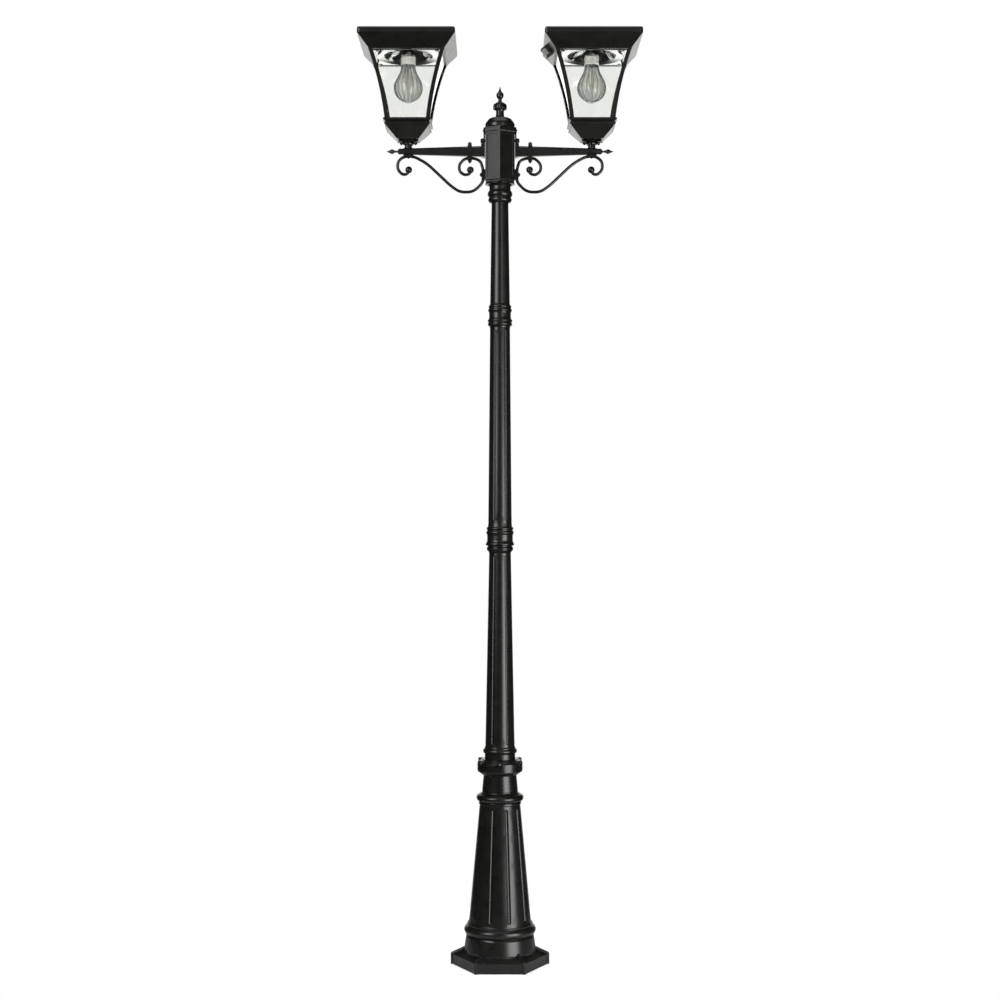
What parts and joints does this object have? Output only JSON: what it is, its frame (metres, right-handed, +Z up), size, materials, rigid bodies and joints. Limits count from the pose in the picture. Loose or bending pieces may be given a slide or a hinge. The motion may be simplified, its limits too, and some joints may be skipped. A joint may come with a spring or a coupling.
{
  "type": "street lamp post",
  "caption": "Tall black post with a hexagonal base, fluted poles and two scrolled arms, each with a solar lantern with a square glazed cage.",
  "frame": {"origin": "centre of the base plinth's underside", "axes": "+Z up the post, +X along the arms towards the right lantern, -Y towards the viewer"},
  "size_m": [0.67, 0.2375, 2.22],
  "materials": {
    "black_coated_casting": "satin black powder coat on cast aluminium",
    "steel_fastener": "zinc plated steel",
    "clear_pane": "clear, smooth",
    "solar_cell": "dark blue cells under a clear laminate",
    "metallised_reflector": "vacuum metallised plastic",
    "white_plastic": "moulded",
    "battery_wrap": "shrink wrap",
    "circuit_board": "solder mask",
    "black_plastic": "moulded, fine grain",
    "grey_rubber": "moulded",
    "bulb_glass": "lightly frosted",
    "led_core": "clear stem with coated filaments"
  },
  "bodies": {
    "post": {"base_plinth": "black_coated_casting", "fluted_pedestal": "black_coated_casting", "lock_ring": "black_coated_casting", "lock_ring_screws": "steel_fastener", "lower_pole": "black_coated_casting", "lower_coupling": "black_coated_casting", "middle_pole": "black_coated_casting", "upper_coupling": "black_coated_casting", "top_pole": "black_coated_casting", "joint_sleeves": "steel_fastener", "hub_collar": "black_coated_casting", "hub": "black_coated_casting", "hub_cap": "black_coated_casting", "finial": "black_coated_casting", "bracket_bolts": "black_coated_casting", "left_arm": "black_coated_casting", "left_scroll": "black_coated_casting", "left_bracket": "black_coated_casting", "left_band_clamp": "black_coated_casting", "left_stem": "black_coated_casting", "left_stem_nut": "steel_fastener", "right_arm": "black_coated_casting", "right_scroll": "black_coated_casting", "right_bracket": "black_coated_casting", "right_band_clamp": "black_coated_casting", "right_stem": "black_coated_casting", "right_stem_nut": "steel_fastener"},
    "left_head": {"left_petal_cup": "black_coated_casting", "left_hopper": "black_coated_casting", "left_cage": "black_coated_casting", "left_panes": "clear_pane"},
    "left_roof_lid": {"left_roof": "black_coated_casting", "left_roof_screws": "steel_fastener", "left_solar_panel": "solar_cell", "left_reflector": "metallised_reflector", "left_socket": "metallised_reflector", "left_battery": "battery_wrap", "left_control_board": "circuit_board", "left_switch_housing": "black_plastic"},
    "left_bulb": {"left_bulb_glass": "bulb_glass", "left_bulb_base": "white_plastic", "left_led_core": "led_core"},
    "left_button": {"left_switch_button": "grey_rubber"},
    "right_head": {"right_petal_cup": "black_coated_casting", "right_hopper": "black_coated_casting", "right_cage": "black_coated_casting", "right_panes": "clear_pane"},
    "right_roof_lid": {"right_roof": "black_coated_casting", "right_roof_screws": "steel_fastener", "right_solar_panel": "solar_cell", "right_reflector": "metallised_reflector", "right_socket": "metallised_reflector", "right_battery": "battery_wrap", "right_control_board": "circuit_board", "right_switch_housing": "black_plastic"},
    "right_bulb": {"right_bulb_glass": "bulb_glass", "right_bulb_base": "white_plastic", "right_led_core": "led_core"},
    "right_button": {"right_switch_button": "grey_rubber"}
  },
  "joints": [
    {"name": "left_head_swivel", "type": "hinge", "parent": "post", "child": "left_head", "pos_m": [-0.22, 0, 1.97], "axis": [0, 0, 1], "range_deg": [-180, 180]},
    {"name": "left_roof_lift", "type": "slide", "parent": "left_head", "child": "left_roof_lid", "axis": [0, 0, 1], "range_m": [0, 0.12]},
    {"name": "left_bulb_turn", "type": "hinge", "parent": "left_roof_lid", "child": "left_bulb", "pos_m": [-0.22, 0, 2.19], "axis": [0, 0, 1], "range_deg": [-720, 0]},
    {"name": "left_switch_press", "type": "slide", "parent": "left_roof_lid", "child": "left_button", "axis": [0, -0.7682, 0.6402], "range_m": [0, 0.0025], "stiffness_N_per_m": 800, "springref_m": -0.001},
    {"name": "right_head_swivel", "type": "hinge", "parent": "post", "child": "right_head", "pos_m": [0.22, 0, 1.97], "axis": [0, 0, 1], "range_deg": [-180, 180]},
    {"name": "right_roof_lift", "type": "slide", "parent": "right_head", "child": "right_roof_lid", "axis": [0, 0, 1], "range_m": [0, 0.12]},
    {"name": "right_bulb_turn", "type": "hinge", "parent": "right_roof_lid", "child": "right_bulb", "pos_m": [0.22, 0, 2.19], "axis": [0, 0, 1], "range_deg": [-720, 0]},
    {"name": "right_switch_press", "type": "slide", "parent": "right_roof_lid", "child": "right_button", "axis": [0.7682, 0, 0.6402], "range_m": [0, 0.0025], "stiffness_N_per_m": 800, "springref_m": -0.001}
  ]
}
